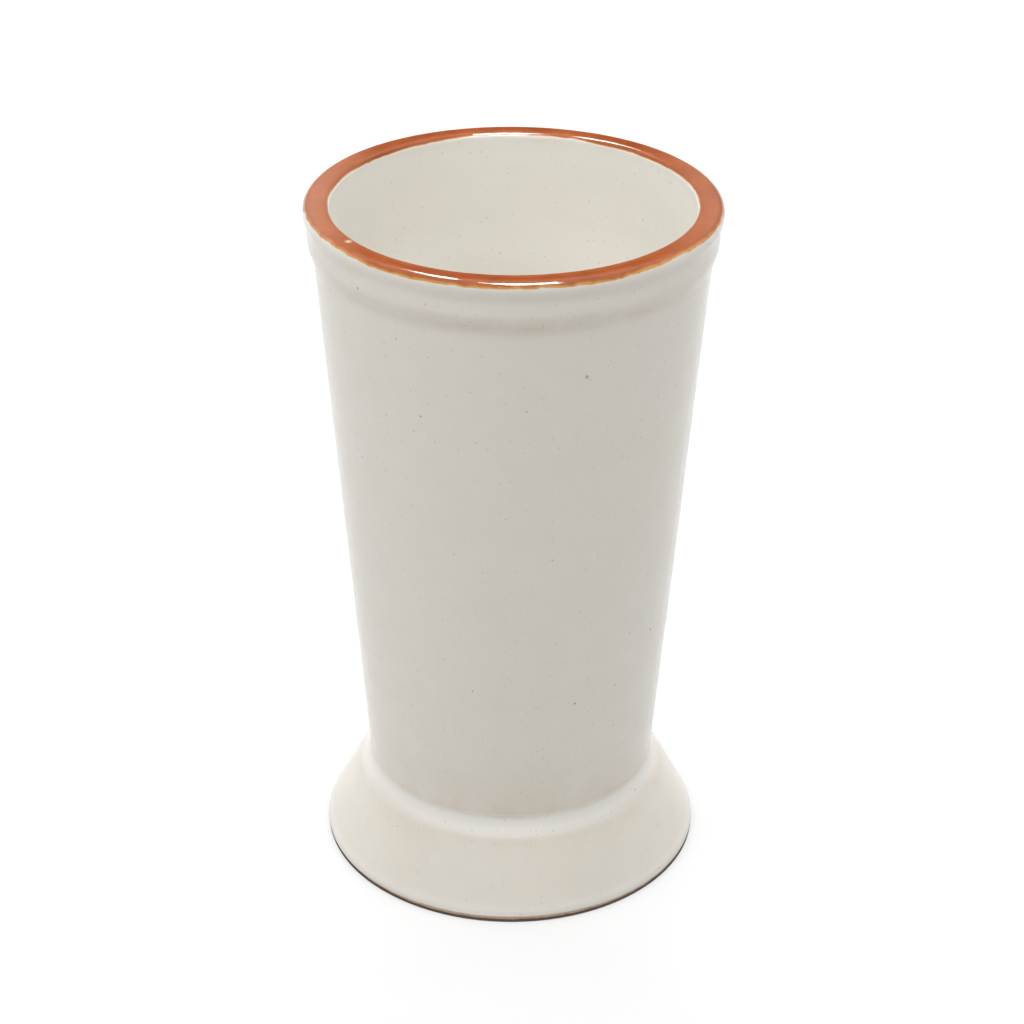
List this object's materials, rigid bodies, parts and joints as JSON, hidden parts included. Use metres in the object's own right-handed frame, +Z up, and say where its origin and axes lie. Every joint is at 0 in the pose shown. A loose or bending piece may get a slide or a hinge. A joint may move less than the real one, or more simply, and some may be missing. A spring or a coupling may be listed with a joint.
{
  "type": "footed clay cup",
  "caption": "Tall tapering glazed clay kulhad cup on a flared hollow foot, with a thick collar and a banded lip.",
  "frame": {"origin": "middle of the foot's standing face, on the table", "axes": "+Z up along the cup's axis; the cup is round, so +X and +Y are free"},
  "size_m": [0.08, 0.08, 0.1421],
  "materials": {
    "fired_clay": "matte",
    "pale_glaze": "gloss",
    "amber_glaze": "gloss"
  },
  "bodies": {
    "root": {"cup_body": "fired_clay", "rim_collar": "fired_clay", "pedestal_foot": "fired_clay", "joint_coil": "fired_clay", "liner_glaze": "pale_glaze", "outside_glaze": "pale_glaze", "foot_glaze": "pale_glaze", "base_glaze": "pale_glaze", "lip_glaze": "amber_glaze"}
  },
  "joints": []
}
